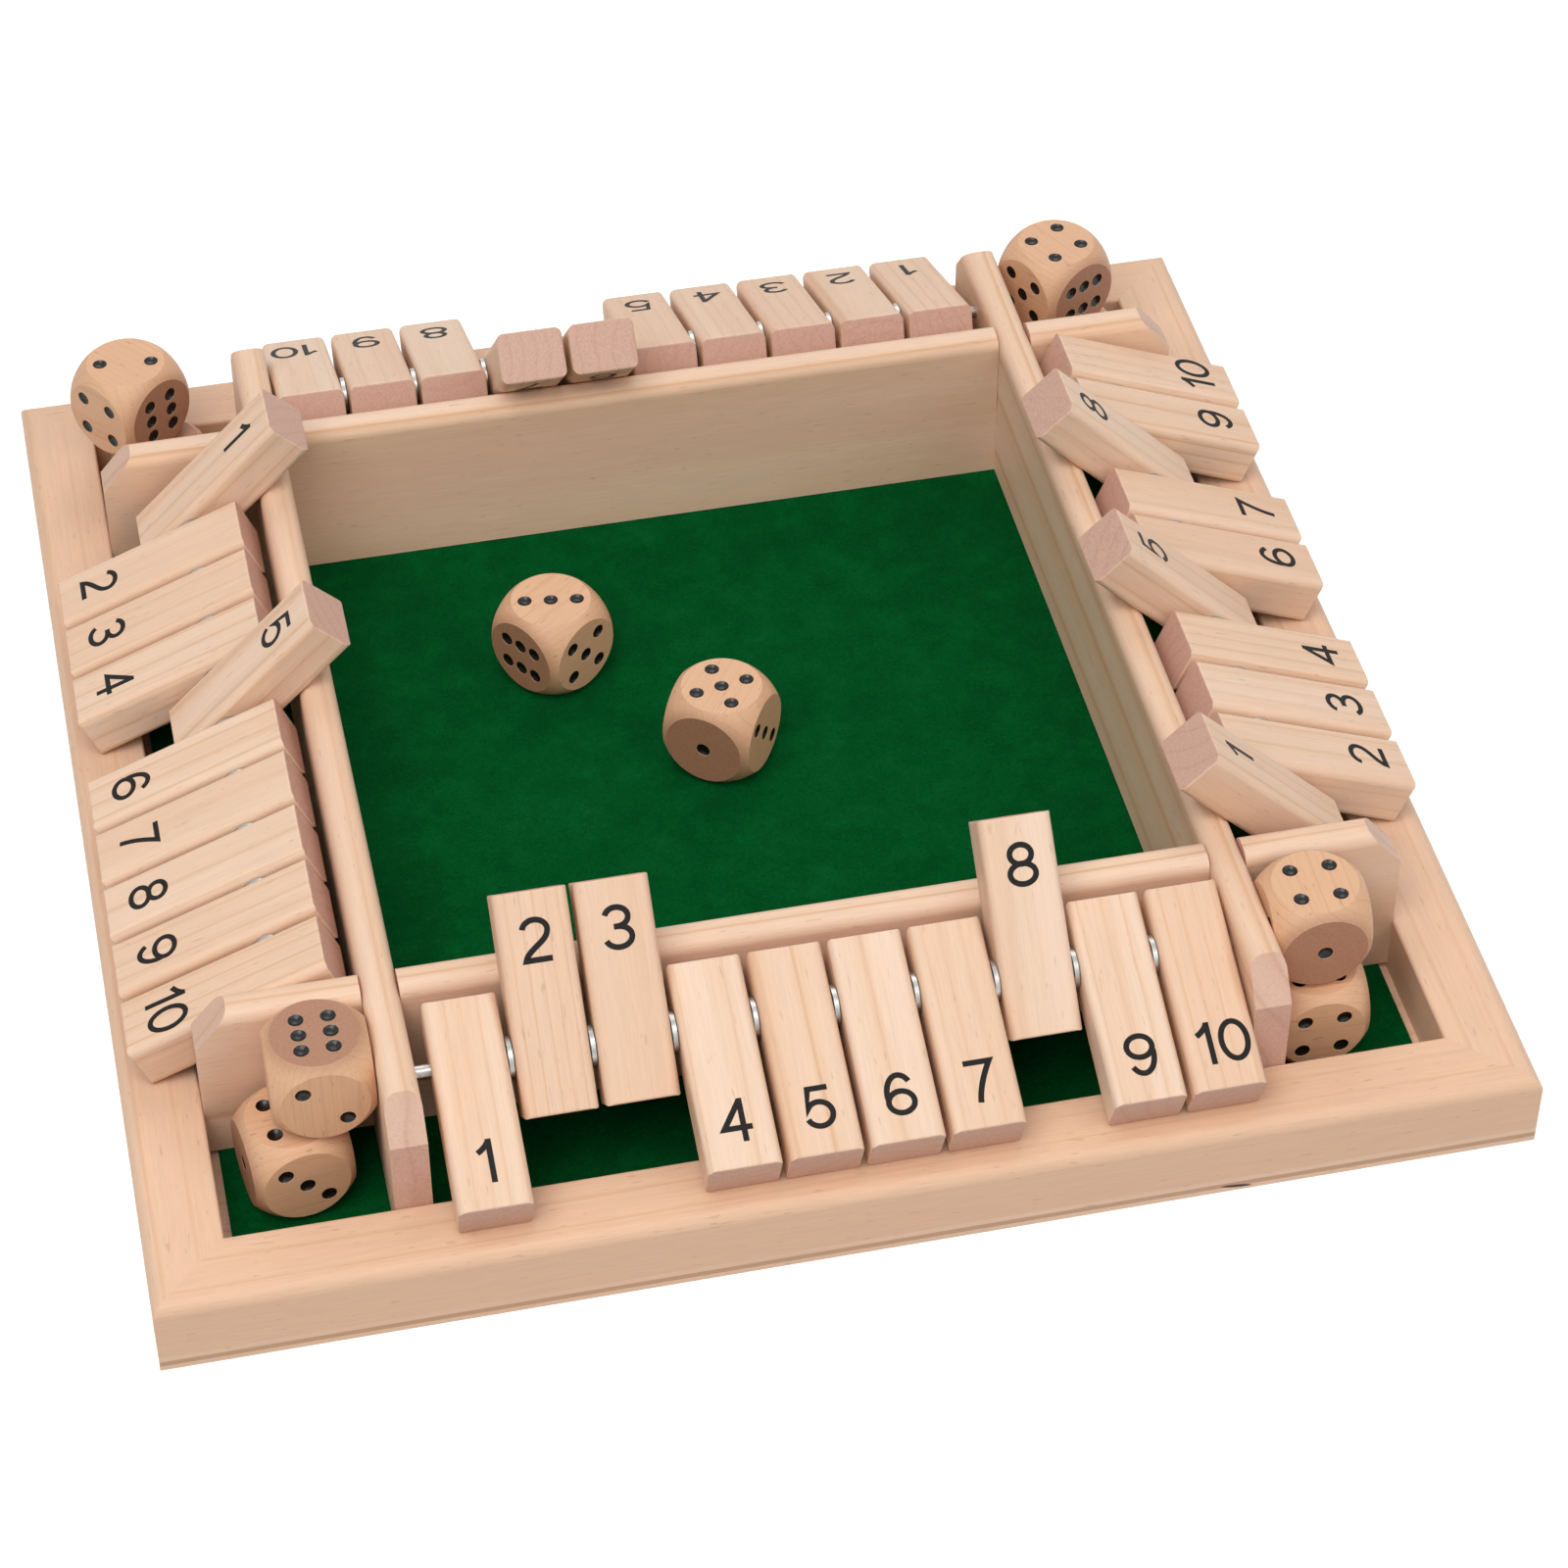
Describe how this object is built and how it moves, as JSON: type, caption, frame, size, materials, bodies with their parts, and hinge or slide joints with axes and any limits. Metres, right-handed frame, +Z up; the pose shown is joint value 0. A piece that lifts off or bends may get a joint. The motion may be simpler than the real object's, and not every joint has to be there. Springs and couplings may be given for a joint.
{
  "type": "shut the box game",
  "caption": "Square wooden board with a row of hinged number tiles along each side, a felt-lined rolling tray in the middle, and corner pockets for dice.",
  "frame": {"origin": "middle of the board's underside, on the surface it stands on", "axes": "+X to the right and +Y away from the player of the front row, +Z up"},
  "size_m": [0.3, 0.3, 0.0661],
  "materials": {
    "pine_rail": "satin, clear lacquered pine",
    "pine_wall": "satin, clear lacquered pine",
    "pine_tile": "satin, clear lacquered pine",
    "plywood": "sanded plywood",
    "green_felt": "felt",
    "steel_rod": "drawn steel rod",
    "zinc_washer": "zinc-plated steel",
    "dice_wood": "satin, lacquered hardwood",
    "black_ink": "black paint of the numbers and pips"
  },
  "bodies": {
    "board": {"base_board": "plywood", "felt_sheet": "green_felt", "rails_front_back": "pine_rail", "rails_left_right": "pine_rail", "wall_front": "pine_wall", "wall_back": "pine_wall", "wall_left": "pine_wall", "wall_right": "pine_wall", "pivot_rods": "steel_rod", "spacer_washers": "zinc_washer"},
    "tile_front_1": {"tile_front_1": "pine_tile"},
    "tile_front_2": {"tile_front_2": "pine_tile"},
    "tile_front_3": {"tile_front_3": "pine_tile"},
    "tile_front_4": {"tile_front_4": "pine_tile"},
    "tile_front_5": {"tile_front_5": "pine_tile"},
    "tile_front_6": {"tile_front_6": "pine_tile"},
    "tile_front_7": {"tile_front_7": "pine_tile"},
    "tile_front_8": {"tile_front_8": "pine_tile"},
    "tile_front_9": {"tile_front_9": "pine_tile"},
    "tile_front_10": {"tile_front_10": "pine_tile"},
    "tile_right_1": {"tile_right_1": "pine_tile"},
    "tile_right_2": {"tile_right_2": "pine_tile"},
    "tile_right_3": {"tile_right_3": "pine_tile"},
    "tile_right_4": {"tile_right_4": "pine_tile"},
    "tile_right_5": {"tile_right_5": "pine_tile"},
    "tile_right_6": {"tile_right_6": "pine_tile"},
    "tile_right_7": {"tile_right_7": "pine_tile"},
    "tile_right_8": {"tile_right_8": "pine_tile"},
    "tile_right_9": {"tile_right_9": "pine_tile"},
    "tile_right_10": {"tile_right_10": "pine_tile"},
    "tile_back_1": {"tile_back_1": "pine_tile"},
    "tile_back_2": {"tile_back_2": "pine_tile"},
    "tile_back_3": {"tile_back_3": "pine_tile"},
    "tile_back_4": {"tile_back_4": "pine_tile"},
    "tile_back_5": {"tile_back_5": "pine_tile"},
    "tile_back_6": {"tile_back_6": "pine_tile"},
    "tile_back_7": {"tile_back_7": "pine_tile"},
    "tile_back_8": {"tile_back_8": "pine_tile"},
    "tile_back_9": {"tile_back_9": "pine_tile"},
    "tile_back_10": {"tile_back_10": "pine_tile"},
    "tile_left_1": {"tile_left_1": "pine_tile"},
    "tile_left_2": {"tile_left_2": "pine_tile"},
    "tile_left_3": {"tile_left_3": "pine_tile"},
    "tile_left_4": {"tile_left_4": "pine_tile"},
    "tile_left_5": {"tile_left_5": "pine_tile"},
    "tile_left_6": {"tile_left_6": "pine_tile"},
    "tile_left_7": {"tile_left_7": "pine_tile"},
    "tile_left_8": {"tile_left_8": "pine_tile"},
    "tile_left_9": {"tile_left_9": "pine_tile"},
    "tile_left_10": {"tile_left_10": "pine_tile"},
    "die_tray_back": {"die_tray_back": "dice_wood"},
    "die_tray_middle": {"die_tray_middle": "dice_wood"},
    "die_front_left_lower": {"die_front_left_lower": "dice_wood"},
    "die_front_left_upper": {"die_front_left_upper": "dice_wood"},
    "die_front_right_lower": {"die_front_right_lower": "dice_wood"},
    "die_front_right_upper": {"die_front_right_upper": "dice_wood"},
    "die_back_left_lower": {"die_back_left_lower": "dice_wood"},
    "die_back_left_upper": {"die_back_left_upper": "dice_wood"},
    "die_back_right_lower": {"die_back_right_lower": "dice_wood"},
    "die_back_right_upper": {"die_back_right_upper": "dice_wood"}
  },
  "joints": [
    {"name": "tile_front_1_hinge", "type": "hinge", "parent": "board", "child": "tile_front_1", "pos_m": [-0.07735, -0.113, 0.0376], "axis": [-1, 0, 0], "range_deg": [0, 156.91]},
    {"name": "tile_front_2_hinge", "type": "hinge", "parent": "board", "child": "tile_front_2", "pos_m": [-0.05985, -0.113, 0.0376], "axis": [-1, 0, 0], "range_deg": [-156.91, 0]},
    {"name": "tile_front_3_hinge", "type": "hinge", "parent": "board", "child": "tile_front_3", "pos_m": [-0.04235, -0.113, 0.0376], "axis": [-1, 0, 0], "range_deg": [-156.91, 0]},
    {"name": "tile_front_4_hinge", "type": "hinge", "parent": "board", "child": "tile_front_4", "pos_m": [-0.02485, -0.113, 0.0376], "axis": [-1, 0, 0], "range_deg": [0, 156.91]},
    {"name": "tile_front_5_hinge", "type": "hinge", "parent": "board", "child": "tile_front_5", "pos_m": [-0.00735, -0.113, 0.0376], "axis": [-1, 0, 0], "range_deg": [0, 156.91]},
    {"name": "tile_front_6_hinge", "type": "hinge", "parent": "board", "child": "tile_front_6", "pos_m": [0.01015, -0.113, 0.0376], "axis": [-1, 0, 0], "range_deg": [0, 156.91]},
    {"name": "tile_front_7_hinge", "type": "hinge", "parent": "board", "child": "tile_front_7", "pos_m": [0.02765, -0.113, 0.0376], "axis": [-1, 0, 0], "range_deg": [0, 156.91]},
    {"name": "tile_front_8_hinge", "type": "hinge", "parent": "board", "child": "tile_front_8", "pos_m": [0.04515, -0.113, 0.0376], "axis": [-1, 0, 0], "range_deg": [-156.91, 0]},
    {"name": "tile_front_9_hinge", "type": "hinge", "parent": "board", "child": "tile_front_9", "pos_m": [0.06265, -0.113, 0.0376], "axis": [-1, 0, 0], "range_deg": [0, 156.91]},
    {"name": "tile_front_10_hinge", "type": "hinge", "parent": "board", "child": "tile_front_10", "pos_m": [0.08015, -0.113, 0.0376], "axis": [-1, 0, 0], "range_deg": [0, 154.38]},
    {"name": "tile_right_1_hinge", "type": "hinge", "parent": "board", "child": "tile_right_1", "pos_m": [0.113, -0.07735, 0.0376], "axis": [0, -1, 0], "range_deg": [-156.91, 0]},
    {"name": "tile_right_2_hinge", "type": "hinge", "parent": "board", "child": "tile_right_2", "pos_m": [0.113, -0.05985, 0.0376], "axis": [0, -1, 0], "range_deg": [0, 156.91]},
    {"name": "tile_right_3_hinge", "type": "hinge", "parent": "board", "child": "tile_right_3", "pos_m": [0.113, -0.04235, 0.0376], "axis": [0, -1, 0], "range_deg": [0, 156.91]},
    {"name": "tile_right_4_hinge", "type": "hinge", "parent": "board", "child": "tile_right_4", "pos_m": [0.113, -0.02485, 0.0376], "axis": [0, -1, 0], "range_deg": [0, 156.91]},
    {"name": "tile_right_5_hinge", "type": "hinge", "parent": "board", "child": "tile_right_5", "pos_m": [0.113, -0.00735, 0.0376], "axis": [0, -1, 0], "range_deg": [-156.91, 0]},
    {"name": "tile_right_6_hinge", "type": "hinge", "parent": "board", "child": "tile_right_6", "pos_m": [0.113, 0.01015, 0.0376], "axis": [0, -1, 0], "range_deg": [0, 156.91]},
    {"name": "tile_right_7_hinge", "type": "hinge", "parent": "board", "child": "tile_right_7", "pos_m": [0.113, 0.02765, 0.0376], "axis": [0, -1, 0], "range_deg": [0, 156.91]},
    {"name": "tile_right_8_hinge", "type": "hinge", "parent": "board", "child": "tile_right_8", "pos_m": [0.113, 0.04515, 0.0376], "axis": [0, -1, 0], "range_deg": [-156.91, 0]},
    {"name": "tile_right_9_hinge", "type": "hinge", "parent": "board", "child": "tile_right_9", "pos_m": [0.113, 0.06265, 0.0376], "axis": [0, -1, 0], "range_deg": [0, 156.91]},
    {"name": "tile_right_10_hinge", "type": "hinge", "parent": "board", "child": "tile_right_10", "pos_m": [0.113, 0.08015, 0.0376], "axis": [0, -1, 0], "range_deg": [0, 154.38]},
    {"name": "tile_back_1_hinge", "type": "hinge", "parent": "board", "child": "tile_back_1", "pos_m": [0.07735, 0.113, 0.0376], "axis": [1, 0, 0], "range_deg": [0, 156.91]},
    {"name": "tile_back_2_hinge", "type": "hinge", "parent": "board", "child": "tile_back_2", "pos_m": [0.05985, 0.113, 0.0376], "axis": [1, 0, 0], "range_deg": [0, 156.91]},
    {"name": "tile_back_3_hinge", "type": "hinge", "parent": "board", "child": "tile_back_3", "pos_m": [0.04235, 0.113, 0.0376], "axis": [1, 0, 0], "range_deg": [0, 156.91]},
    {"name": "tile_back_4_hinge", "type": "hinge", "parent": "board", "child": "tile_back_4", "pos_m": [0.02485, 0.113, 0.0376], "axis": [1, 0, 0], "range_deg": [0, 156.91]},
    {"name": "tile_back_5_hinge", "type": "hinge", "parent": "board", "child": "tile_back_5", "pos_m": [0.00735, 0.113, 0.0376], "axis": [1, 0, 0], "range_deg": [0, 156.91]},
    {"name": "tile_back_6_hinge", "type": "hinge", "parent": "board", "child": "tile_back_6", "pos_m": [-0.01015, 0.113, 0.0376], "axis": [1, 0, 0], "range_deg": [-156.91, 0]},
    {"name": "tile_back_7_hinge", "type": "hinge", "parent": "board", "child": "tile_back_7", "pos_m": [-0.02765, 0.113, 0.0376], "axis": [1, 0, 0], "range_deg": [-156.91, 0]},
    {"name": "tile_back_8_hinge", "type": "hinge", "parent": "board", "child": "tile_back_8", "pos_m": [-0.04515, 0.113, 0.0376], "axis": [1, 0, 0], "range_deg": [0, 156.91]},
    {"name": "tile_back_9_hinge", "type": "hinge", "parent": "board", "child": "tile_back_9", "pos_m": [-0.06265, 0.113, 0.0376], "axis": [1, 0, 0], "range_deg": [0, 156.91]},
    {"name": "tile_back_10_hinge", "type": "hinge", "parent": "board", "child": "tile_back_10", "pos_m": [-0.08015, 0.113, 0.0376], "axis": [1, 0, 0], "range_deg": [0, 154.38]},
    {"name": "tile_left_1_hinge", "type": "hinge", "parent": "board", "child": "tile_left_1", "pos_m": [-0.113, 0.07735, 0.0376], "axis": [0, 1, 0], "range_deg": [-156.91, 0]},
    {"name": "tile_left_2_hinge", "type": "hinge", "parent": "board", "child": "tile_left_2", "pos_m": [-0.113, 0.05985, 0.0376], "axis": [0, 1, 0], "range_deg": [0, 156.91]},
    {"name": "tile_left_3_hinge", "type": "hinge", "parent": "board", "child": "tile_left_3", "pos_m": [-0.113, 0.04235, 0.0376], "axis": [0, 1, 0], "range_deg": [0, 156.91]},
    {"name": "tile_left_4_hinge", "type": "hinge", "parent": "board", "child": "tile_left_4", "pos_m": [-0.113, 0.02485, 0.0376], "axis": [0, 1, 0], "range_deg": [0, 156.91]},
    {"name": "tile_left_5_hinge", "type": "hinge", "parent": "board", "child": "tile_left_5", "pos_m": [-0.113, 0.00735, 0.0376], "axis": [0, 1, 0], "range_deg": [-156.91, 0]},
    {"name": "tile_left_6_hinge", "type": "hinge", "parent": "board", "child": "tile_left_6", "pos_m": [-0.113, -0.01015, 0.0376], "axis": [0, 1, 0], "range_deg": [0, 156.91]},
    {"name": "tile_left_7_hinge", "type": "hinge", "parent": "board", "child": "tile_left_7", "pos_m": [-0.113, -0.02765, 0.0376], "axis": [0, 1, 0], "range_deg": [0, 156.91]},
    {"name": "tile_left_8_hinge", "type": "hinge", "parent": "board", "child": "tile_left_8", "pos_m": [-0.113, -0.04515, 0.0376], "axis": [0, 1, 0], "range_deg": [0, 156.91]},
    {"name": "tile_left_9_hinge", "type": "hinge", "parent": "board", "child": "tile_left_9", "pos_m": [-0.113, -0.06265, 0.0376], "axis": [0, 1, 0], "range_deg": [0, 156.91]},
    {"name": "tile_left_10_hinge", "type": "hinge", "parent": "board", "child": "tile_left_10", "pos_m": [-0.113, -0.08015, 0.0376], "axis": [0, 1, 0], "range_deg": [0, 154.38]},
    {"name": "die_tray_back_lift", "type": "slide", "parent": "board", "child": "die_tray_back", "axis": [0, 0, 1], "range_m": [0, 0.06]},
    {"name": "die_tray_middle_lift", "type": "slide", "parent": "board", "child": "die_tray_middle", "axis": [0, 0, 1], "range_m": [0, 0.06]},
    {"name": "die_front_left_lower_lift", "type": "slide", "parent": "board", "child": "die_front_left_lower", "axis": [0, 0, 1], "range_m": [0, 0.06]},
    {"name": "die_front_left_upper_lift", "type": "slide", "parent": "die_front_left_lower", "child": "die_front_left_upper", "axis": [0, 0, 1], "range_m": [0, 0.06]},
    {"name": "die_front_right_lower_lift", "type": "slide", "parent": "board", "child": "die_front_right_lower", "axis": [0, 0, 1], "range_m": [0, 0.06]},
    {"name": "die_front_right_upper_lift", "type": "slide", "parent": "die_front_right_lower", "child": "die_front_right_upper", "axis": [0, 0, 1], "range_m": [0, 0.06]},
    {"name": "die_back_left_lower_lift", "type": "slide", "parent": "board", "child": "die_back_left_lower", "axis": [0, 0, 1], "range_m": [0, 0.06]},
    {"name": "die_back_left_upper_lift", "type": "slide", "parent": "die_back_left_lower", "child": "die_back_left_upper", "axis": [0, 0, 1], "range_m": [0, 0.06]},
    {"name": "die_back_right_lower_lift", "type": "slide", "parent": "board", "child": "die_back_right_lower", "axis": [0, 0, 1], "range_m": [0, 0.06]},
    {"name": "die_back_right_upper_lift", "type": "slide", "parent": "die_back_right_lower", "child": "die_back_right_upper", "axis": [0, 0, 1], "range_m": [0, 0.06]}
  ]
}
